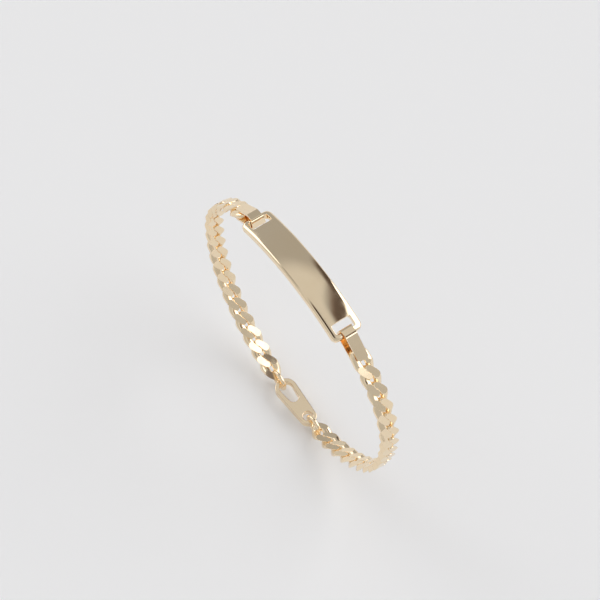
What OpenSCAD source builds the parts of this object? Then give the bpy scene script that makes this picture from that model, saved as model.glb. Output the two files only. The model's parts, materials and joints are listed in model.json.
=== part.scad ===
// Identity bracelet, fastened and in the round form that it has when worn.
// A curved plate is carried by two folded straps, and two curb chains close the loop at a plain clasp.
// The wrist axis is Y, X runs along the plate and +Z points up through the middle of the plate.

/* [Plate] */
// Length of the plate, along its curve
plate_len = 31.2; // [27:0.2:36]
// Width of the plate, along the wrist
plate_w = 6.5; // [5.6:0.1:8]
// Thickness of the plate
plate_t = 1.3; // [1:0.1:1.8]
// Radius of the plate's curve, at half thickness
plate_radius = 43; // [36:1:60]
// Rise of the top face between its two long edges
plate_dome = 0.14; // [0.05:0.01:0.25]
// Radius of the plate's four corners
plate_corner = 1.2; // [0.6:0.1:1.6]
// Radius of the rolled long edges
plate_edge = 0.54; // [0.3:0.02:0.56]
// Width of the bar that is left at each end of the plate
bar_w = 1.05; // [0.8:0.05:1.4]
// Opening of each slot along the plate
slot_len = 2.1; // [1.8:0.1:2.6]
// Opening of each slot across the plate
slot_w = 4.2; // [3.8:0.1:4.6]

/* [Connectors] */
// Thickness of the folded strap
strap_t = 0.4; // [0.35:0.01:0.45]
// Outer radius of the bend in the slot
bend_radius = 0.7; // [0.65:0.01:0.75]
// Width of the strap in the slot
bend_w = 2.8; // [2.5:0.05:3.2]
// Width of the strap over the bar and at the crease
facet_w = 2.35; // [2.1:0.05:2.5]
// Length of the flat facet, from the bend to the crease
facet_len = 1.32; // [1.2:0.02:1.5]
// Angle at which the facet rises over the plate
facet_rise = 18.5; // [15:0.5:20]
// Length of the tongue, from the crease to its tip
tongue_len = 5.3; // [5:0.1:5.6]
// Width of the tongue at its tip
tongue_tip_w = 2.3; // [2:0.05:2.5]
// Radius of the tongue's two tip corners
tongue_corner = 0.6; // [0.3:0.05:0.8]
// Angle at which the tongue falls from the plate's end
tongue_tilt = 16.6; // [15.5:0.1:18]
// Width of the under layer
under_w = 3.3; // [2.8:0.05:3.5]
// Length of the straight run below the tongue
strap_run = 6.1; // [5.96:0.02:6.4]
// Angle of that run to the plate's end
strap_tilt = 13.3; // [12:0.1:15]
// Width of the tab that turns up through the first link
tab_w = 0.7; // [0.5:0.05:0.8]
// Thickness of that tab
tab_t = 0.45; // [0.3:0.05:0.5]

/* [Chain] */
// Length of one link, outside
link_len = 5.78; // [5.74:0.02:5.84]
// Width of the chain
chain_w = 3.35; // [3.3:0.05:3.6]
// Thickness of the chain between its two cut faces
chain_t = 1.2; // [1.1:0.02:1.3]
// Width of a link's wire
wire_w = 1.05; // [0.95:0.01:1.06]
// Thickness of a link's wire
wire_t = 0.7; // [0.62:0.01:0.72]
// Angle through which a link is twisted from end to end
link_twist = 132; // [126:1:140]
// How square a link's oval is: 2 is an ellipse
link_square = 3.5; // [3.2:0.1:4]
// Distance from the plate's end to the middle of the first link
first_run = 5.85; // [5.8:0.01:5.9]
// Distance from link to link
link_pitch = 3.48; // [3.46:0.01:3.5]
// Number of links on each side of the plate
side_links = 18; // [17:1:20]

/* [Loop] */
// Radius of the chain's curve beside the plate
shoulder_radius = 21; // [19:0.5:25]
// Angle through which the side turns
side_turn = 12; // [6:1:20]

/* [Clasp] */
// Length of the clasp
clasp_len = 12; // [10:0.5:14]
// Width of the clasp
clasp_w = 4.6; // [4.4:0.1:5.4]
// Thickness of the clasp
clasp_t = 1.4; // [1.2:0.05:1.5]
// Wall of the clasp round its larger opening
clasp_wall = 0.9; // [0.8:0.05:1.1]
// Wall of the clasp round its smaller eye
eye_wall = 0.72; // [0.6:0.02:0.9]
// Diameter of a jump ring's wire
ring_wire = 0.8; // [0.7:0.05:0.85]
// Inner diameter of a jump ring
ring_bore = 3.2; // [3.1:0.05:3.5]

/* [Clearances] */
// Gap between the strap and what it is folded round
strap_gap = 0.15; // [0.13:0.01:0.17]
// Play of the strap along the slot
bar_play = 0.22; // [0.19:0.01:0.3]
// Play of a jump ring in an eye
ring_play = 0.34; // [0.28:0.01:0.36]

/* [Hidden] */
$fn = 48;
gold = "#e3c797";
overshoot = 1;
cut_depth = 10;

// A place on the loop is [x, z, slope], and the slope is 0 at the top and 180 at the bottom.
function arc_on(place, radius, turn) = [
    place[0] + radius * (sin(place[2] + turn) - sin(place[2])),
    place[1] - radius * (cos(place[2]) - cos(place[2] + turn)),
    place[2] + turn
];
function line_on(place, run) = [
    place[0] + run * cos(place[2]),
    place[1] - run * sin(place[2]),
    place[2]
];
function arc_len(radius, turn) = radius * turn * PI / 180;
function turn_of(radius, run) = run / radius * 180 / PI;

// Links, by their half lengths at the middle of the wire.
link_a = (link_len - wire_w) / 2;
link_b = (chain_w - wire_w) / 2;
link_steps = 20;
end_drop = 0.04;

// Runs along the loop: those that end in back are counted from the middle of the clasp, and
// half_run goes from the end of the plate to that middle.
ring_reach = (ring_bore + ring_wire) / 2;
eye_reach = clasp_wall + ring_play + ring_wire / 2;
ring_back = clasp_len / 2 - eye_reach + ring_reach;
last_back = ring_back + ring_reach - ring_wire / 2 - ring_play - wire_w / 2 + link_a;
half_run = first_run + (side_links - 1) * link_pitch + last_back;
link_count = 2 * side_links;

// The right half of the loop, from the top of the plate to the middle of the clasp.
half_turn = turn_of(plate_radius, plate_len / 2);
top = [0, 0, 0];
plate_end = arc_on(top, plate_radius, half_turn);
strap_start = [plate_end[0], plate_end[1], plate_end[2] + strap_tilt];
strap_end = line_on(strap_start, strap_run);
shoulder_turn = 90 - strap_end[2];
shoulder_end = arc_on(strap_end, shoulder_radius, shoulder_turn);
bottom_turn = 90 - side_turn;

// The length of the chain and its clasp sets the radius of the side, and that sets the bottom's.
side_from = strap_run + arc_len(shoulder_radius, shoulder_turn);
side_room = half_run - side_from - arc_len(shoulder_end[0] / cos(side_turn), bottom_turn);
side_radius = side_room / (arc_len(1, side_turn) - arc_len(1 / cos(side_turn) - 1, bottom_turn));
side_end = arc_on(shoulder_end, side_radius, side_turn);
bottom_from = side_from + arc_len(side_radius, side_turn);
bottom_radius = side_end[0] / cos(side_turn);
bottom = arc_on(side_end, bottom_radius, bottom_turn);
loop_rise = -bottom[1] / 2;

// The place at a distance from the end of the plate, on the right half of the loop.
function right_at(run) =
    run < strap_run ? line_on(strap_start, run) :
    run < side_from ? arc_on(strap_end, shoulder_radius, turn_of(shoulder_radius, run - strap_run)) :
    run < bottom_from ? arc_on(shoulder_end, side_radius, turn_of(side_radius, run - side_from)) :
    arc_on(side_end, bottom_radius, turn_of(bottom_radius, run - bottom_from));
function mirrored(place) = [-place[0], place[1], -place[2]];

clasp_drop = bottom_radius * (1 - cos(turn_of(bottom_radius, ring_back)));

function link_place(i) = i < side_links
    ? right_at(first_run + i * link_pitch)
    : mirrored(right_at(first_run + (link_count - 1 - i) * link_pitch));
function two_digits(i) = i < 10 ? str("0", i) : str(i);
function link_name(i) = str("link_", two_digits(i + 1));

module at(place) {
    translate([place[0], 0, place[1] + loop_rise]) rotate([0, place[2], 0]) children();
}

// A shape drawn along the bracelet and upwards, made as deep as wide across it.
module across(wide) {
    rotate([90, 0, 0]) linear_extrude(wide, center = true) children();
}

module both_ends() {
    children();
    mirror([1, 0, 0]) children();
}

// The plate's section: x is its height over the bottom face and y lies across it.
section_steps = 6;
function rolled(y, z, from, radius) = [
    for (k = [0:section_steps])
        let (a = from + 90 * k / section_steps)
        [z + radius * sin(a), y + radius * cos(a)]
];
function domed(w, t, rise, edge) = [
    for (k = [1:2 * section_steps - 1])
        let (u = 1 - k / section_steps)
        [t - rise * u * u, (w / 2 - edge) * u]
];
function plate_section(w, t, rise, edge) = concat(
    rolled(w / 2 - edge, t - rise - edge, 0, edge),
    domed(w, t, rise, edge),
    rolled(edge - w / 2, t - rise - edge, 90, edge),
    rolled(edge / 2 - w / 2, edge / 2, 180, edge / 2),
    rolled(w / 2 - edge / 2, edge / 2, 270, edge / 2)
);

module plate_blank() {
    rotate([-90, 0, 0]) rotate([0, 0, -90 - half_turn])
        rotate_extrude(angle = 2 * half_turn, $fn = 180)
            translate([plate_radius - plate_t / 2, 0])
                polygon(plate_section(plate_w, plate_t, plate_dome, plate_edge));
}

module corner_waste() {
    for (side = [-1, 1])
        scale([1, side, 1])
            translate([-plate_corner, plate_w / 2 - plate_corner, 0])
                difference() {
                    linear_extrude(cut_depth, center = true)
                        square(plate_corner + overshoot);
                    cylinder(h = cut_depth + overshoot, r = plate_corner, center = true);
                }
}

slot_corner = 0.4;
module slot_cut() {
    x = slot_len / 2 - slot_corner;
    y = slot_w / 2 - slot_corner;
    translate([-bar_w - slot_len / 2, 0, 0])
        linear_extrude(cut_depth, center = true) {
            square([slot_len, 2 * y], center = true);
            square([2 * x, slot_w], center = true);
            for (sx = [-x, x], sy = [-y, y])
                translate([sx, sy]) circle(slot_corner);
        }
}

module plate() {
    color(gold) difference() {
        translate([0, 0, loop_rise - plate_radius]) plate_blank();
        both_ends() at(plate_end) corner_waste();
        both_ends() at(plate_end) slot_cut();
    }
}

// The strap is drawn from the end of the plate, along and up. Places in the straight run below
// the tongue are [c, m]: c along the run and m over its middle line.
function lean(c, m) = [c * cos(strap_tilt) + m * sin(strap_tilt), m * cos(strap_tilt) - c * sin(strap_tilt)];
function above(point) = point[0] * sin(strap_tilt) + point[1] * cos(strap_tilt);
function heading(angle) = [cos(angle), sin(angle)];
function arc_points(centre, radius, from, to, steps) =
    [for (k = [0:steps]) centre + radius * heading(from + (to - from) * k / steps)];

bend_steps = 8;
bend_x = bend_radius - strap_t - bar_play - bar_w;
bend_z = plate_t / 2 + strap_gap + strap_t - bend_radius;
bend_inner = bend_radius - strap_t;
bend_back = bend_x - bend_radius;
facet_from = [bend_x, bend_z] + bend_radius * heading(90 + facet_rise);
crease = facet_from + facet_len * heading(facet_rise);
crease_half = (facet_rise + tongue_tilt) / 2;
crease_under = crease + strap_t / cos(crease_half) * heading(facet_rise - crease_half - 90);
tip = crease + tongue_len * heading(-tongue_tilt);
tip_under = tip + strap_t * heading(-tongue_tilt - 90);

module top_layer_profile() {
    polygon(concat(
        arc_points([bend_x, bend_z], bend_radius, 180, 90 + facet_rise, bend_steps),
        [crease, tip, tip_under, crease_under],
        arc_points([bend_x, bend_z], bend_inner, 90 + facet_rise, 180, bend_steps)
    ));
}

// The lower half of the bend, from the middle of the slot to the under layer.
module bend_profile() {
    polygon(concat(
        [[bend_back + strap_t, bend_z], [bend_back, bend_z]],
        arc_points([bend_x, -bend_z], bend_radius, 180, 270, bend_steps),
        arc_points([bend_x, -bend_z], bend_inner, 270, 180, bend_steps)
    ));
}

past_bar = 0.24;
under_top = wire_t / 2 + end_drop + strap_gap;
under_c = first_run - link_a - wire_w / 2;
tab_clear = 0.48;
tab_start = first_run - link_a + wire_w / 2 + tab_clear;
under_end = tab_start + tab_t;
module under_layer_profile() {
    polygon([
        [bend_x, -bend_z - bend_inner],
        [past_bar, -bend_z - bend_inner],
        lean(under_c, -under_top),
        lean(under_end, -under_top),
        lean(under_end, -under_top - strap_t),
        lean(under_c, -under_top - strap_t),
        [past_bar, -bend_z - bend_radius],
        [bend_x, -bend_z - bend_radius]
    ]);
}

tab_top = above((crease_under + tip_under) / 2) + strap_t / 2;
module tab_profile() {
    polygon([
        lean(tab_start, -under_top - strap_t / 2),
        lean(tab_start, tab_top),
        lean(under_end, tab_top),
        lean(under_end, -under_top - strap_t / 2)
    ]);
}

// The top layer seen from above: wide in the slot, then straight to the round-cornered tip.
corner_steps = 6;
module tongue_outline() {
    corner_x = tip[0] - tongue_corner;
    corner_y = tongue_tip_w / 2 - tongue_corner;
    polygon(concat(
        [[bend_back - overshoot, -bend_w / 2], [bend_back, -bend_w / 2]],
        [[facet_from[0], -facet_w / 2], [crease[0], -facet_w / 2]],
        arc_points([corner_x, -corner_y], tongue_corner, -90, 0, corner_steps),
        arc_points([corner_x, corner_y], tongue_corner, 0, 90, corner_steps),
        [[crease[0], facet_w / 2], [facet_from[0], facet_w / 2]],
        [[bend_back, bend_w / 2], [bend_back - overshoot, bend_w / 2]]
    ));
}

module connector() {
    color(gold) union() {
        intersection() {
            across(bend_w) top_layer_profile();
            linear_extrude(cut_depth, center = true) tongue_outline();
        }
        across(bend_w) bend_profile();
        across(under_w) under_layer_profile();
        across(tab_w) tab_profile();
    }
}
module connector_right() at(plate_end) connector();
module connector_left() mirror([1, 0, 0]) connector_right();

// A curb link: a squared oval of flat wire, twisted end against end, then ground above and below.
function oval_at(angle) =
    let (
        along_x = pow(abs(cos(angle)), link_square),
        along_y = pow(abs(sin(angle)), link_square),
        reach = pow(along_x + along_y, -1 / link_square)
    )
    [link_a * reach * cos(angle), link_b * reach * sin(angle), 0];
function unit(v) = v / norm(v);
function ground(z) = max(-chain_t / 2, min(chain_t / 2, z));
function twisted(point, level_to, level_from) =
    let (turn = -link_twist / link_len * max(level_to, min(level_from, point[0])))
    [
        point[0],
        point[1] * cos(turn) - point[2] * sin(turn),
        ground(point[1] * sin(turn) + point[2] * cos(turn))
    ];
shoulder_share = 0.52;
wire_section = [
    [wire_w / 2, 0],
    [wire_w / 2 * shoulder_share, wire_t / 2],
    [-wire_w / 2 * shoulder_share, wire_t / 2],
    [-wire_w / 2, 0],
    [-wire_w / 2 * shoulder_share, -wire_t / 2],
    [wire_w / 2 * shoulder_share, -wire_t / 2]
];
section_sides = len(wire_section);
probe = 4;
function link_points(level_to, level_from) = [
    for (k = [0:link_steps - 1])
        let (
            angle = 360 * k / link_steps,
            way = unit(oval_at(angle + probe) - oval_at(angle - probe)),
            out = [way[1], -way[0], 0]
        )
        for (corner = wire_section)
            twisted(oval_at(angle) + out * corner[0] + [0, 0, corner[1]], level_to, level_from)
];
link_faces = [
    for (k = [0:link_steps - 1], j = [0:section_sides - 1])
        let (
            next_k = (k + 1) % link_steps,
            next_j = (j + 1) % section_sides,
            a = k * section_sides + j,
            b = k * section_sides + next_j,
            c = next_k * section_sides + next_j,
            d = next_k * section_sides + j
        )
        each [[a, c, b], [a, d, c]]
];

// The end links are left level where a strap holds them.
module link(i) {
    first = i == 0;
    last = i == link_count - 1;
    color(gold) at(link_place(i))
        translate([0, 0, first || last ? -end_drop : 0])
            polyhedron(link_points(first ? 0 : -link_len, last ? 0 : link_len), link_faces);
}

// A long eye: a round end at x1, a larger one at x2, and straight flanks that touch both.
drop_steps = 20;
module drop(x1, r1, x2, r2) {
    flank = 90 + asin((r2 - r1) / (x2 - x1));
    polygon(concat(
        arc_points([x2, 0], r2, -flank, flank, drop_steps),
        arc_points([x1, 0], r1, flank, 360 - flank, drop_steps)
    ));
}

module clasp() {
    half = clasp_len / 2;
    big = clasp_w / 2;
    eye = ring_wire / 2 + 2 * ring_play;
    small = eye + eye_wall;
    color(gold) at(bottom) translate([0, 0, -clasp_drop])
        linear_extrude(clasp_t, center = true)
            difference() {
                drop(small - half, small, half - big, big);
                drop(eye, eye, half - big, big - clasp_wall);
                translate([small - half, 0]) circle(eye);
            }
}

module jump_ring() {
    at(right_at(half_run - ring_back))
        rotate([90, 0, 0])
            rotate_extrude($fn = 64)
                translate([ring_reach, 0]) circle(ring_wire / 2, $fn = 24);
}
module ring_right() color(gold) jump_ring();
module ring_left() color(gold) mirror([1, 0, 0]) jump_ring();

plate();
connector_right();
connector_left();
clasp();
ring_right();
ring_left();
for (i = [0:link_count - 1])
    link(i);
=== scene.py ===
import json
import math
import bmesh
import bpy
from mathutils import Matrix, Vector

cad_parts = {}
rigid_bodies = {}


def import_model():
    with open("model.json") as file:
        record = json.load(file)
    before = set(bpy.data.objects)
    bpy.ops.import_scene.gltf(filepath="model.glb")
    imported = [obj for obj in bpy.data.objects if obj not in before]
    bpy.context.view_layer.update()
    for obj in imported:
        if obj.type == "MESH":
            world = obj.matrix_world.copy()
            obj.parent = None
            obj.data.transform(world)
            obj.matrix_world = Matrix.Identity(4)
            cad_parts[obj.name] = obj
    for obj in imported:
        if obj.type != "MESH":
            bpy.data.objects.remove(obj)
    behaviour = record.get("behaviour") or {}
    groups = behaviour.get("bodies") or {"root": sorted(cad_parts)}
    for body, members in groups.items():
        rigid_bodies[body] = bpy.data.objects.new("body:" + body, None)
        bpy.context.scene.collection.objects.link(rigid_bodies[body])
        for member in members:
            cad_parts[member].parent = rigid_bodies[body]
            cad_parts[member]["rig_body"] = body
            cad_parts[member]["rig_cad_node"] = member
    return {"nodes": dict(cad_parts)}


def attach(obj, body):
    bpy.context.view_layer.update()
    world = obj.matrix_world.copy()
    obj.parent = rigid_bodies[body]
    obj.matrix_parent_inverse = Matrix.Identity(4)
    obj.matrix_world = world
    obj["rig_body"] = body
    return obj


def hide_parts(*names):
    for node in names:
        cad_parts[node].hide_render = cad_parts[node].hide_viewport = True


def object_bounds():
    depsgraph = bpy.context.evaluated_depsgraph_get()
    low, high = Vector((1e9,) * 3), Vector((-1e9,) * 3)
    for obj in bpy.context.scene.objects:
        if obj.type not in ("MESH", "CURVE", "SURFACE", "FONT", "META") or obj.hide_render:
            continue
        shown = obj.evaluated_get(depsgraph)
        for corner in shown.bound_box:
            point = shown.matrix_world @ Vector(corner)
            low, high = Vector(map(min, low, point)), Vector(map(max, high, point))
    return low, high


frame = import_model()
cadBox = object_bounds()

# Pieces are modelled in millimetres and brought to metres when they are placed.
mm = 0.001

# The loop, as the path of the plate's and the chain's middle line. Slopes are in degrees.
loop = dict(plateLength=31.2, plateRadius=43.0, strapTilt=13.3, strapRun=6.1, shoulderRadius=21.0,
            sideRadius=37.7592, sideTurn=12.0, bottomRadius=29.3592, rise=27.3576,
            firstLink=5.85, linkPitch=3.48, linksOnASide=18, halfRun=74.47, ringBack=6.36)


def arcOn(place, radius, turn):
    x, z, slope = place
    a, b = math.radians(slope), math.radians(slope + turn)
    along, down = math.sin(b) - math.sin(a), math.cos(a) - math.cos(b)
    return (x + radius * along, z - radius * down, slope + turn)


def lineOn(place, run):
    x, z, slope = place
    return (x + run * math.cos(math.radians(slope)), z - run * math.sin(math.radians(slope)), slope)


def turnOf(radius, run):
    return math.degrees(run / radius)


plateEnd = arcOn((0, 0, 0), loop["plateRadius"], turnOf(loop["plateRadius"], loop["plateLength"] / 2))
strapStart = (plateEnd[0], plateEnd[1], plateEnd[2] + loop["strapTilt"])
strapEnd = lineOn(strapStart, loop["strapRun"])
shoulderRun = math.radians(90 - strapEnd[2]) * loop["shoulderRadius"]
shoulderEnd = arcOn(strapEnd, loop["shoulderRadius"], 90 - strapEnd[2])
sideRun = math.radians(loop["sideTurn"]) * loop["sideRadius"]
sideEnd = arcOn(shoulderEnd, loop["sideRadius"], loop["sideTurn"])


def placeAt(run):
    # a place on the right half, at that distance from the plate's end
    if run < loop["strapRun"]:
        return lineOn(strapStart, run)
    run -= loop["strapRun"]
    if run < shoulderRun:
        return arcOn(strapEnd, loop["shoulderRadius"], turnOf(loop["shoulderRadius"], run))
    run -= shoulderRun
    if run < sideRun:
        return arcOn(shoulderEnd, loop["sideRadius"], turnOf(loop["sideRadius"], run))
    return arcOn(sideEnd, loop["bottomRadius"], turnOf(loop["bottomRadius"], run - sideRun))


def mirrored(place):
    return (-place[0], place[1], -place[2])


def seat(place):
    # from a piece's own axes to its place on the loop, still in millimetres
    x, z, slope = place
    return Matrix.Translation((x, 0, z + loop["rise"])) @ Matrix.Rotation(math.radians(slope), 4, "Y")


# How far apart, in mm, two points may lie and still count as one, and as lying on one cut or face
samePoint = 0.001
closeBy = 0.01


# Small helpers for modelling by hand
def deselectAll():
    if bpy.context.object and bpy.context.object.mode != "OBJECT":
        bpy.ops.object.mode_set(mode="OBJECT")
    bpy.ops.object.select_all(action="DESELECT")


def work(piece):
    deselectAll()
    piece.select_set(True)
    bpy.context.view_layer.objects.active = piece


def addBlock(name, size, at=(0, 0, 0)):
    deselectAll()
    bpy.ops.mesh.primitive_cube_add(size=1, location=at)
    block = bpy.context.object
    block.name = name
    block.scale = size
    bpy.ops.object.transform_apply(location=True, rotation=True, scale=True)
    return block


def choose(kind, test):
    # in edit mode, selects the points or edges whose place passes the test
    bpy.ops.mesh.select_mode(type=kind)
    bpy.ops.mesh.select_all(action="DESELECT")
    shape = bmesh.from_edit_mesh(bpy.context.object.data)
    for part in dict(VERT=shape.verts, EDGE=shape.edges)[kind]:
        if test(part):
            part.select_set(True)
    bmesh.update_edit_mesh(bpy.context.object.data)


def middle(edge):
    return (edge.verts[0].co + edge.verts[1].co) / 2


def runsAlong(edge, axis):
    return abs((edge.verts[1].co - edge.verts[0].co).normalized()[axis]) > 0.9


def applyModifier(piece, kind, **settings):
    work(piece)
    change = piece.modifiers.new(kind.lower(), kind)
    for key, value in settings.items():
        setattr(change, key, value)
    bpy.ops.object.modifier_apply(modifier=change.name)


def cutOut(piece, cutter):
    applyModifier(piece, "BOOLEAN", object=cutter, operation="DIFFERENCE", solver="EXACT")
    bpy.data.objects.remove(cutter)


def slices(axis, places):
    # cuts the whole shape across at each place, so that it can bend smoothly there
    normal = Vector((0, 0, 0))
    normal[axis] = 1
    for place in places:
        bpy.ops.mesh.select_all(action="SELECT")
        bpy.ops.mesh.bisect(plane_co=normal * place, plane_no=normal)


def spread(low, high, count, ends=False):
    # evenly spread places between two ends, or also at them
    inner = [low + (high - low) * (k + 1) / (count + 1) for k in range(count)]
    return [low] + inner + [high] if ends else inner


def turnAndApply(piece, turns):
    work(piece)
    piece.rotation_euler = turns
    bpy.ops.object.transform_apply(location=False, rotation=True, scale=False)


def copyOf(piece):
    # each copy has a mesh of its own
    copy = piece.copy()
    copy.data = piece.data.copy()
    bpy.context.scene.collection.objects.link(copy)
    return copy


def settle(piece, name, nodes, matrix=Matrix.Identity(4)):
    # puts the shape in its place, in metres, ties it to the frame's root body, and hides the frame's parts
    # that it stands for
    piece.name = name
    piece.data.name = name
    piece.data.transform(Matrix.Scale(mm, 4) @ matrix)
    piece.data.update()
    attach(piece, "root")
    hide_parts(*nodes)


def smooth(piece, degrees):
    work(piece)
    bpy.ops.object.shade_smooth_by_angle(angle=math.radians(degrees))


def smoothKeepFlats(piece, degrees):
    # rounds shade smoothly, and the flat faces between them stay flat to the eye
    smooth(piece, degrees)
    applyModifier(piece, "WEIGHTED_NORMAL", keep_sharp=True)


def coat(piece, material):
    piece.data.materials.clear()
    piece.data.materials.append(material)


def linear(code):
    # an sRGB hex colour as Blender's linear numbers
    parts = [int(code[k:k + 2], 16) / 255 for k in (1, 3, 5)]
    return tuple(c / 12.92 if c <= 0.04045 else ((c + 0.055) / 1.055) ** 2.4 for c in parts) + (1,)


def addNode(tree, kind, links=None, **settings):
    # links says which socket of which node feeds each input
    node = tree.nodes.new(kind)
    for key, value in settings.items():
        if hasattr(node, key):
            setattr(node, key, value)
        else:
            node.inputs[key.replace("_", " ")].default_value = value
    for socket, (source, output) in (links or {}).items():
        tree.links.new(source.outputs[output], node.inputs[socket])
    return node


# The camera, at the photograph's viewing angle. The plate's middle is seen at pixel apexAt of 600 x 600.
view = dict(azimuth=53.3, elevation=59.04, roll=2.02, distance=364.3, focalPixels=1984.0,
            apexAt=(301.1, 268.3), frame=600, sensorWidth=36)


def makeCamera():
    a, e, r = (math.radians(view[k]) for k in ("azimuth", "elevation", "roll"))
    back = Vector((math.sin(a) * math.cos(e), -math.cos(a) * math.cos(e), math.sin(e)))
    right = Vector((math.cos(a), math.sin(a), 0))
    up = back.cross(right)
    right, up = right * math.cos(r) + up * math.sin(r), up * math.cos(r) - right * math.sin(r)
    apex = Vector((0, 0, loop["rise"]))
    eye = apex + back * view["distance"]
    shareOfDistance = view["distance"] / view["focalPixels"]
    across = (view["apexAt"][0] - view["frame"] / 2) * shareOfDistance
    upwards = (view["frame"] / 2 - view["apexAt"][1]) * shareOfDistance
    aim = apex - right * across - up * upwards
    back = (eye - aim).normalized()
    right = (right - back * right.dot(back)).normalized()
    up = back.cross(right)
    data = bpy.data.cameras.new("camera")
    data.sensor_width = view["sensorWidth"]
    data.lens = view["focalPixels"] / view["frame"] * data.sensor_width
    data.clip_start = 0.01
    camera = bpy.data.objects.new("camera", data)
    bpy.context.scene.collection.objects.link(camera)
    camera.matrix_world = Matrix((
        (right.x, up.x, back.x, eye.x * mm),
        (right.y, up.y, back.y, eye.y * mm),
        (right.z, up.z, back.z, eye.z * mm),
        (0, 0, 0, 1)))
    bpy.context.scene.camera = camera


makeCamera()
print("camera set")


# Gold plating on brass, polished: pale, a little pink, and mirror smooth but for faint hand-polish waves.
# The chain is polished in a tumbler, which leaves its reflections a touch softer. Sizes are in mm.
goldFinish = dict(colour="#f6dfba", paler="#fae8cb", waveSize=7.0, waveHeight=0.004,
                  smearSize=2.4, smearRange=(0.35, 0.7), gloss=(0.05, 0.12), tumbledGloss=(0.08, 0.2))


def polishedGold(name, finish):
    material = bpy.data.materials.new(name)
    material.use_nodes = True
    tree = material.node_tree
    surface = tree.nodes["Principled BSDF"]
    surface.inputs["Metallic"].default_value = 1.0
    place = addNode(tree, "ShaderNodeTexCoord")
    # cloudy smears left by the polishing cloth, seen as a soft change of gloss
    smears = addNode(tree, "ShaderNodeTexNoise", {"Vector": (place, "Object")},
                     Scale=1 / (finish["smearSize"] * mm), Detail=3.0, Roughness=0.6)
    gloss = addNode(tree, "ShaderNodeMapRange", {"Value": (smears, "Fac")},
                    From_Min=finish["smearRange"][0], From_Max=finish["smearRange"][1],
                    To_Min=finish["gloss"][0], To_Max=finish["gloss"][1])
    tree.links.new(gloss.outputs["Result"], surface.inputs["Roughness"])
    # the plating is a touch paler where it lies thin
    tint = addNode(tree, "ShaderNodeTexNoise", {"Vector": (place, "Object")},
                   Scale=1 / (finish["waveSize"] * mm), Detail=2.0)
    colour = addNode(tree, "ShaderNodeMix", {"Factor": (tint, "Fac")}, data_type="RGBA")
    colour.inputs["A"].default_value = linear(finish["colour"])
    colour.inputs["B"].default_value = linear(finish["paler"])
    tree.links.new(colour.outputs["Result"], surface.inputs["Base Color"])
    # slow waves, which bend the edge of a reflection
    waves = addNode(tree, "ShaderNodeTexNoise", {"Vector": (place, "Object")},
                    Scale=1 / (finish["waveSize"] * mm), Detail=0.0)
    relief = addNode(tree, "ShaderNodeBump", {"Height": (waves, "Fac")},
                     Strength=1.0, Distance=finish["waveHeight"] * mm)
    tree.links.new(relief.outputs["Normal"], surface.inputs["Normal"])
    return material


plateGold = polishedGold("goldPlatingMirrorPolished", goldFinish)
chainGold = polishedGold("goldPlatingTumbled", dict(goldFinish, gloss=goldFinish["tumbledGloss"]))


# The plate: a flat blank, rounded, slotted, rolled at its edges, crowned and then bent.
# It is modelled lying along X with its thickness along Y, so that it bends in that plane.
plate = dict(length=31.2, thick=1.3, width=6.5, corner=1.2, edgeRoll=0.55, underRoll=0.2, crown=0.14,
             bar=1.05, slotLength=2.1, slotWidth=4.2, slotCorner=0.4, slotEdge=0.08, rows=96, columns=17,
             cornerSteps=12, rollSteps=8, underSteps=4, slotCornerSteps=6, slotEdgeSteps=3, smoothBelow=40)


def makePlate():
    halfLength, top, halfWidth = plate["length"] / 2, plate["thick"] / 2, plate["width"] / 2
    blank = addBlock("plateBlank", (plate["length"], plate["thick"], plate["width"]))
    bpy.ops.object.mode_set(mode="EDIT")
    choose("EDGE", lambda e: runsAlong(e, 1))
    bpy.ops.mesh.bevel(offset=plate["corner"], segments=plate["cornerSteps"], affect="EDGES")
    choose("EDGE", lambda e: all(v.co.y > top - closeBy for v in e.verts))
    bpy.ops.mesh.bevel(offset=plate["edgeRoll"], segments=plate["rollSteps"], affect="EDGES")
    choose("EDGE", lambda e: all(v.co.y < closeBy - top for v in e.verts))
    bpy.ops.mesh.bevel(offset=plate["underRoll"], segments=plate["underSteps"], affect="EDGES")
    bpy.ops.object.mode_set(mode="OBJECT")

    slotMiddle = halfLength - plate["bar"] - plate["slotLength"] / 2
    for side in (-1, 1):
        cutter = addBlock("slotCutter", (plate["slotLength"], plate["thick"] * 3, plate["slotWidth"]),
                          (side * slotMiddle, 0, 0))
        bpy.ops.object.mode_set(mode="EDIT")
        choose("EDGE", lambda e: runsAlong(e, 1))
        bpy.ops.mesh.bevel(offset=plate["slotCorner"], segments=plate["slotCornerSteps"], affect="EDGES")
        bpy.ops.object.mode_set(mode="OBJECT")
        cutOut(blank, cutter)

    work(blank)
    bpy.ops.object.mode_set(mode="EDIT")

    def onSlotRim(e):
        m = middle(e)
        inside = (abs(abs(m.x) - slotMiddle) < plate["slotLength"] / 2 + closeBy
                  and abs(m.z) < plate["slotWidth"] / 2 + closeBy)
        flatRim = all(abs(abs(v.co.y) - top) < closeBy for v in e.verts)
        return inside and flatRim and any(abs(f.normal.y) < 0.1 for f in e.link_faces)

    choose("EDGE", onSlotRim)
    bpy.ops.mesh.bevel(offset=plate["slotEdge"], segments=plate["slotEdgeSteps"], affect="EDGES")
    slices(0, spread(-halfLength, halfLength, plate["rows"]))
    slices(2, spread(-halfWidth, halfWidth, plate["columns"]))
    bpy.ops.object.mode_set(mode="OBJECT")

    flatHalf = halfWidth - plate["edgeRoll"]
    for v in blank.data.vertices:
        share = (v.co.y + top) / plate["thick"]
        v.co.y -= plate["crown"] * share * (v.co.z / flatHalf) ** 2

    applyModifier(blank, "SIMPLE_DEFORM", deform_method="BEND", deform_axis="Z",
                  angle=-plate["length"] / loop["plateRadius"])
    turnAndApply(blank, (math.radians(90), 0, 0))
    smoothKeepFlats(blank, plate["smoothBelow"])
    coat(blank, plateGold)
    settle(blank, "identityPlate", ["plate"], Matrix.Translation((0, 0, loop["rise"])))


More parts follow.
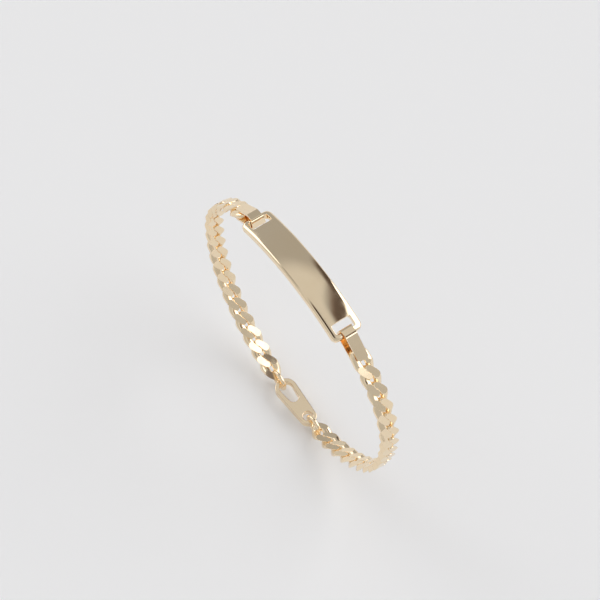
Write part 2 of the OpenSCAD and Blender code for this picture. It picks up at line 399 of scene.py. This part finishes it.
makePlate()
print("plate made")


# A connector: one flat strip, folded through the slot and round the bar. Its outer face is drawn as
# a path from the tongue's tip to the tab, in the axes of the plate's end, and the strip grows inwards.
strap = dict(thick=0.4, bendAt=(-0.97, 0.5), bendRadius=0.7, bendWidth=2.8, bendSteps=10,
             facet=1.32, facetRise=18.5, facetWidth=2.35, creaseRound=0.33,
             tongue=5.3, tongueTilt=16.6, tipWidth=2.3, tipCorner=0.6,
             underWidth=3.3, levelTo=0.24, runTilt=13.3, underTop=0.54, underFrom=2.96, underTo=4.94,
             tabFrom=4.49, tabTop=1.198, tabWidth=0.7, edge=0.05, roundSteps=8, edgeSteps=3,
             edgeAbove=35, smoothBelow=30)


def heading(degrees):
    a = math.radians(degrees)
    return Vector((math.cos(a), 0, math.sin(a)))


def lean(along, above):
    return heading(-strap["runTilt"]) * along + heading(90 - strap["runTilt"]) * above


def makeStrap():
    t, radius = strap["thick"], strap["bendRadius"]
    x, z = strap["bendAt"]
    high, low = Vector((x, 0, z)), Vector((x, 0, -z))
    rise = strap["facetRise"]
    facetFrom = high + heading(90 + rise) * radius
    crease = facetFrom + heading(rise) * strap["facet"]
    tip = crease + heading(-strap["tongueTilt"]) * strap["tongue"]

    # the path from the crease on, each point with the strap's width there
    path = [(crease, strap["facetWidth"])]
    for share in spread(0, 1, strap["bendSteps"] - 1, ends=True):
        place = high + heading(90 + rise + share * (90 - rise)) * radius
        flare = (facetFrom.x - place.x) / (facetFrom.x - x + radius)
        path.append((place, strap["facetWidth"] + flare * (strap["bendWidth"] - strap["facetWidth"])))
    for share in spread(0, 1, strap["bendSteps"] - 1, ends=True):
        place = low + heading(180 + 90 * share) * radius
        path.append((place, strap["bendWidth"] + share ** 2 * (strap["underWidth"] - strap["bendWidth"])))
    path.append((Vector((strap["levelTo"], 0, -z - radius)), strap["underWidth"]))
    path.append((lean(strap["underFrom"], -strap["underTop"] - t), strap["underWidth"]))
    path.append((lean(strap["underTo"], -strap["underTop"] - t), strap["underWidth"]))

    deselectAll()
    bpy.ops.mesh.primitive_plane_add(size=1)
    strip = bpy.context.object
    bpy.ops.object.mode_set(mode="EDIT")
    shape = bmesh.from_edit_mesh(strip.data)
    for v in shape.verts:
        atTip = v.co.x > 0
        wide = strap["tipWidth"] if atTip else strap["facetWidth"]
        v.co = (tip if atTip else crease) + Vector((0, math.copysign(wide / 2, v.co.y), 0))
    bmesh.update_edit_mesh(strip.data)
    here, wide = path[0]
    choose("EDGE", lambda e: all((v.co - crease).xz.length < samePoint for v in e.verts))
    for there, nextWide in path[1:]:
        bpy.ops.mesh.extrude_region_move(TRANSFORM_OT_translate=dict(value=there - here))
        if nextWide != wide:
            bpy.ops.transform.resize(value=(1, nextWide / wide, 1), center_override=there)
        here, wide = there, nextWide
    choose("VERT", lambda v: (v.co - tip).xz.length < samePoint)
    bpy.ops.mesh.bevel(offset=strap["tipCorner"], segments=strap["roundSteps"], affect="VERTICES")
    choose("EDGE", lambda e: runsAlong(e, 1) and (middle(e) - crease).xz.length < samePoint)
    bpy.ops.mesh.bevel(offset=strap["creaseRound"], segments=strap["roundSteps"], affect="EDGES")
    bpy.ops.mesh.select_all(action="SELECT")
    bpy.ops.mesh.normals_make_consistent(inside=False)
    bpy.ops.object.mode_set(mode="OBJECT")
    return strip


def makeConnector():
    strip = makeStrap()
    up = max(strip.data.polygons, key=lambda f: f.center.z).normal.z > 0
    applyModifier(strip, "SOLIDIFY", thickness=strap["thick"], offset=-1 if up else 1,
                  use_even_offset=True)
    # the tab that is turned up through the first link and soldered under the tongue
    middleRun = (strap["tabFrom"] + strap["underTo"]) / 2
    low = lean(middleRun, -strap["underTop"] - strap["thick"] / 2)
    high = lean(middleRun, strap["tabTop"])
    tab = addBlock("tab", (strap["underTo"] - strap["tabFrom"], strap["tabWidth"], (high - low).length))
    turnAndApply(tab, (0, math.radians(strap["runTilt"]), 0))
    tab.data.transform(Matrix.Translation((low + high) / 2))
    applyModifier(strip, "BOOLEAN", object=tab, operation="UNION", solver="EXACT")
    bpy.data.objects.remove(tab)
    applyModifier(strip, "BEVEL", width=strap["edge"], segments=strap["edgeSteps"], limit_method="ANGLE",
                  angle_limit=math.radians(strap["edgeAbove"]))
    smoothKeepFlats(strip, strap["smoothBelow"])
    coat(strip, plateGold)
    return strip


rightConnector = makeConnector()
leftConnector = copyOf(rightConnector)
settle(rightConnector, "connectorRight", ["connector_right"], seat(plateEnd))
settle(leftConnector, "connectorLeft", ["connector_left"],
       seat(mirrored(plateEnd)) @ Matrix.Rotation(math.pi, 4, "Z"))
print("connectors made")


# A curb link: an oval of flattened wire, twisted end against end, then ground flat above and below.
link = dict(length=5.78, width=3.35, squareness=1.546, wireWidth=1.03, wireThick=0.7, twist=2.3,
            chainThick=1.2, facetEdge=0.03, endDrop=0.04, sectionSteps=4, ovalSteps=14, edgeSteps=2,
            smoothBelow=30)


def makeLink(twistFrom, twistTo):
    # the wire is twisted from one share of the link's length to the other, and level beyond them
    halfLong = (link["length"] - link["wireWidth"]) / 2
    halfWide = (link["width"] - link["wireWidth"]) / 2
    deselectAll()
    bpy.ops.curve.primitive_bezier_circle_add(radius=1)
    section = bpy.context.object
    section.scale = (link["wireWidth"] / 2, link["wireThick"] / 2, 1)
    bpy.ops.object.transform_apply(scale=True)
    section.data.resolution_u = link["sectionSteps"]
    deselectAll()
    bpy.ops.curve.primitive_bezier_circle_add(radius=1)
    oval = bpy.context.object
    for point in oval.data.splines[0].bezier_points:
        point.handle_left_type = point.handle_right_type = "FREE"
        point.handle_left = point.co + (point.handle_left - point.co) * link["squareness"]
        point.handle_right = point.co + (point.handle_right - point.co) * link["squareness"]
    oval.scale = (halfLong, halfWide, 1)
    # Applying this scale also scales the wire's radius at each point, by 1.63. So the wire is thicker than
    # wireWidth and wireThick say, the link is 4.0 wide, and neighbouring links cut each other.
    bpy.ops.object.transform_apply(scale=True)
    oval.data.resolution_u = link["ovalSteps"]
    oval.data.twist_mode = "Z_UP"
    oval.data.bevel_mode = "OBJECT"
    oval.data.bevel_object = section
    bpy.ops.object.convert(target="MESH")
    wire = bpy.context.object
    bpy.data.objects.remove(section)
    share = twistTo - twistFrom
    applyModifier(wire, "SIMPLE_DEFORM", deform_method="TWIST", deform_axis="X",
                  angle=-link["twist"] * share, limits=(twistFrom, twistTo))
    work(wire)
    bpy.ops.object.mode_set(mode="EDIT")
    bpy.ops.mesh.select_all(action="SELECT")
    bpy.ops.mesh.remove_doubles(threshold=samePoint)
    level = link["chainThick"] / 2
    for side in (-1, 1):
        bpy.ops.mesh.select_all(action="SELECT")
        bpy.ops.mesh.bisect(plane_co=(0, 0, side * level), plane_no=(0, 0, side),
                            use_fill=True, clear_outer=True)
    bpy.ops.mesh.select_all(action="SELECT")
    bpy.ops.mesh.normals_make_consistent(inside=False)
    choose("EDGE", lambda e: all(abs(abs(v.co.z) - level) < samePoint for v in e.verts)
           and any(abs(f.normal.z) < 0.999 for f in e.link_faces))
    bpy.ops.mesh.bevel(offset=link["facetEdge"], segments=link["edgeSteps"], affect="EDGES")
    bpy.ops.object.mode_set(mode="OBJECT")
    smoothKeepFlats(wire, link["smoothBelow"])
    coat(wire, chainGold)
    return wire


def makeChain():
    # the first and the last link lie level in their straps, so only their far half is twisted
    count = 2 * loop["linksOnASide"]
    masters = dict(first=makeLink(0.5, 1), middle=makeLink(0, 1), last=makeLink(0, 0.5))
    for k in range(count):
        kind = "first" if k == 0 else "last" if k == count - 1 else "middle"
        if k < loop["linksOnASide"]:
            place = placeAt(loop["firstLink"] + k * loop["linkPitch"])
        else:
            place = mirrored(placeAt(loop["firstLink"] + (count - 1 - k) * loop["linkPitch"]))
        drop = Matrix.Translation((0, 0, 0 if kind == "middle" else -link["endDrop"]))
        node = "link_%02d" % (k + 1)
        settle(copyOf(masters[kind]), "curbLink%02d" % (k + 1), [node], seat(place) @ drop)
    for master in masters.values():
        bpy.data.objects.remove(master)


makeChain()
print("chain made")


# The jump rings: round wire, closed at a fine seam.
ring = dict(wire=0.8, inner=3.2, seamAt=150.0, seam=0.05, seamPinch=0.9, ringSteps=72, wireSteps=18,
            seamSteps=2, smoothBelow=30)


def makeRing():
    deselectAll()
    reach = (ring["inner"] + ring["wire"]) / 2
    bpy.ops.mesh.primitive_torus_add(major_radius=reach, minor_radius=ring["wire"] / 2,
                                     major_segments=ring["ringSteps"], minor_segments=ring["wireSteps"])
    wire = bpy.context.object
    seam = math.radians(ring["seamAt"])
    spot = Vector((math.cos(seam), math.sin(seam), 0)) * reach
    across = Vector((-math.sin(seam), math.cos(seam), 0))

    def atSeam(v):
        return abs((v.co - spot).dot(across)) < closeBy and v.co.dot(spot) > 0

    bpy.ops.object.mode_set(mode="EDIT")
    choose("EDGE", lambda e: all(atSeam(v) for v in e.verts))
    bpy.ops.mesh.bevel(offset=ring["seam"], segments=ring["seamSteps"], affect="EDGES")
    choose("VERT", atSeam)
    bpy.ops.transform.resize(value=(ring["seamPinch"],) * 3, center_override=spot)
    bpy.ops.object.mode_set(mode="OBJECT")
    turnAndApply(wire, (math.radians(90), 0, 0))
    smooth(wire, ring["smoothBelow"])
    coat(wire, chainGold)
    return wire


ringPlace = placeAt(loop["halfRun"] - loop["ringBack"])
for name, node, place in (("jumpRingRight", "ring_right", ringPlace),
                          ("jumpRingLeft", "ring_left", mirrored(ringPlace))):
    settle(makeRing(), name, [node], seat(place))


# The clasp: one plain piece. Its edges are softened on a merged copy of the frame's own shape.
clasp = dict(edge=0.18, steps=4, flatBelow=1, edgeAbove=50, smoothBelow=40)


def makeClasp():
    deselectAll()
    body = copyOf(frame["nodes"]["clasp"])
    body.parent = None
    body.data.transform(Matrix.Scale(1 / mm, 4))
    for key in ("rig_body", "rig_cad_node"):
        if key in body:
            del body[key]
    work(body)
    bpy.ops.object.mode_set(mode="EDIT")
    bpy.ops.mesh.select_all(action="SELECT")
    bpy.ops.mesh.remove_doubles(threshold=samePoint)
    bpy.ops.mesh.dissolve_limited(angle_limit=math.radians(clasp["flatBelow"]))
    bpy.ops.object.mode_set(mode="OBJECT")
    applyModifier(body, "BEVEL", width=clasp["edge"], segments=clasp["steps"], limit_method="ANGLE",
                  angle_limit=math.radians(clasp["edgeAbove"]))
    smoothKeepFlats(body, clasp["smoothBelow"])
    coat(body, plateGold)
    settle(body, "plainClasp", ["clasp"])


makeClasp()
print("rings and clasp made")


# A plain pale floor under the loop, sizes in metres, and a soft studio round it. The studio is a dome:
# light walls, a grey ceiling, a lighter wall to the right, three soft panels and four dark areas, all as
# radiances. Each patch is bounded by limits (direction, how far along it the patch begins, softness),
# which all have to hold.
studio = dict(
    floorSize=4.0, floorGap=0.0002, floorColour="#f4f4f5", floorRoughness=0.8,
    wall=0.68, upperWall=0.42, wallFades=(0.0, 0.35), ceiling=0.67, ceilingFrom=(0.79, 0.91),
    nearWall=0.6, nearFrom=(-0.1, -0.5), darkTint="#ffe3d6", tintBelow=(0.1, 0.42), glossyBounces=10,
    patches=dict(
        rightWall=(0.54, [((1, 0, 0), 0.42, 0.14)]),
        opening=(0.12, [((0.684, 0.73, 0), 0.205, 0.1), ((0.882, 0.471, 0), 0.04, 0.04),
                        ((0, 1, 0), 0.24, 0.05), ((-1, 0, 0), -0.6, 0.06), ((0, 0, 1), 0.15, 0.1)]),
        lens=(0.04, [((0, -1, 0), -0.115, 0.02), ((0, 1, 0), -0.25, 0.1), ((1, 0, 0), -0.09, 0.08),
                     ((-1, 0, 0), -0.35, 0.05)]),
        nearShade=(0.3, [((0, -1, 0), 0.12, 0.05), ((0, 1, 0), -0.42, 0.06), ((1, 0, 0), -0.5, 0.04),
                         ((-1, 0, 0), 0.27, 0.05)]),
        lintel=(0.1, [((0, 1, 0), 0.456, 0.016), ((1, 0, 0), -0.4, 0.06), ((-1, 0, 0), -0.3, 0.1),
                      ((0, 0, 1), 0.05, 0.1)]),
        backPanel=(2.4, [((0.415, 0.91, 0), 0.46, 0.02), ((0.9225, 0.3857, 0), 0.12, 0.02),
                         ((-1, 0, 0), -0.66, 0.02), ((0, 0, 1), 0.1, 0.1)]),
        rightPanel=(1.9, [((1, 0, 0), 0.36, 0.04), ((-1, 0, 0), -0.68, 0.02), ((0, 1, 0), 0.2, 0.05),
                          ((0, -1, 0), -0.42, 0.05), ((0, 0, 1), 0.1, 0.1)]),
        sidePanel=(1.9, [((-0.771, -0.638, 0), 0.51, 0.02), ((0, -1, 0), -0.15, 0.02),
                         ((-1, 0, 0), 0.53, 0.03), ((0, 1, 0), -0.45, 0.12), ((0, 0, 1), 0.1, 0.1)])))


def makeFloor():
    deselectAll()
    bpy.ops.mesh.primitive_plane_add(size=studio["floorSize"],
                                     location=(0, 0, cadBox[0][2] - studio["floorGap"]))
    floor = bpy.context.object
    floor.name = "floor"
    bpy.ops.object.transform_apply(location=True, rotation=True, scale=True)
    material = bpy.data.materials.new("matteCard")
    material.use_nodes = True
    surface = material.node_tree.nodes["Principled BSDF"]
    surface.inputs["Base Color"].default_value = linear(studio["floorColour"])
    surface.inputs["Roughness"].default_value = studio["floorRoughness"]
    floor.data.materials.append(material)


def makeWorld():
    world = bpy.data.worlds.new("studio")
    bpy.context.scene.world = world
    world.use_nodes = True
    tree = world.node_tree
    place = addNode(tree, "ShaderNodeTexCoord")
    parts = addNode(tree, "ShaderNodeSeparateXYZ", {"Vector": (place, "Generated")})

    def step(source, output, low, high, start, end):
        return addNode(tree, "ShaderNodeMapRange", {"Value": (source, output)},
                       interpolation_type="SMOOTHSTEP", From_Min=low, From_Max=high, To_Min=start, To_Max=end)

    def combine(operation, first, second):
        both = addNode(tree, "ShaderNodeMath", operation=operation)
        for socket, node in zip(both.inputs, (first, second)):
            tree.links.new(node.outputs[0], socket)
        return both

    light = step(parts, "Z", *studio["wallFades"], studio["wall"], studio["upperWall"])
    for output, (low, high), goal in (("Z", studio["ceilingFrom"], studio["ceiling"]),
                                      ("Y", studio["nearFrom"], studio["nearWall"])):
        light = combine("ADD", light, step(parts, output, low, high, 0.0, goal - studio["upperWall"]))
    for radiance, limits in studio["patches"].values():
        mask = None
        for direction, begins, softness in limits:
            reach = addNode(tree, "ShaderNodeVectorMath", {"Vector": (place, "Generated")},
                            operation="DOT_PRODUCT")
            reach.inputs[1].default_value = direction
            inside = step(reach, "Value", begins - softness, begins + softness, 0.0, 1.0)
            mask = combine("MULTIPLY", mask, inside) if mask else inside
        light = addNode(tree, "ShaderNodeMix", {0: (mask, 0), "A": (light, 0)},
                        data_type="FLOAT", B=radiance)
    background = tree.nodes["Background"]
    # what is dark in the studio is warm too, like wood
    warmth = step(light, 0, *studio["tintBelow"], 1.0, 0.0)
    colour = addNode(tree, "ShaderNodeMix", {"Factor": (warmth, 0)}, data_type="RGBA")
    colour.inputs["A"].default_value = (1, 1, 1, 1)
    colour.inputs["B"].default_value = linear(studio["darkTint"])
    tree.links.new(colour.outputs["Result"], background.inputs["Color"])
    tree.links.new(light.outputs[0], background.inputs["Strength"])


makeFloor()
makeWorld()
bpy.context.scene.view_settings.view_transform = "Standard"
# gold in a narrow gap is seen through many reflections
bpy.context.scene.cycles.glossy_bounces = studio["glossyBounces"]
print("studio set")
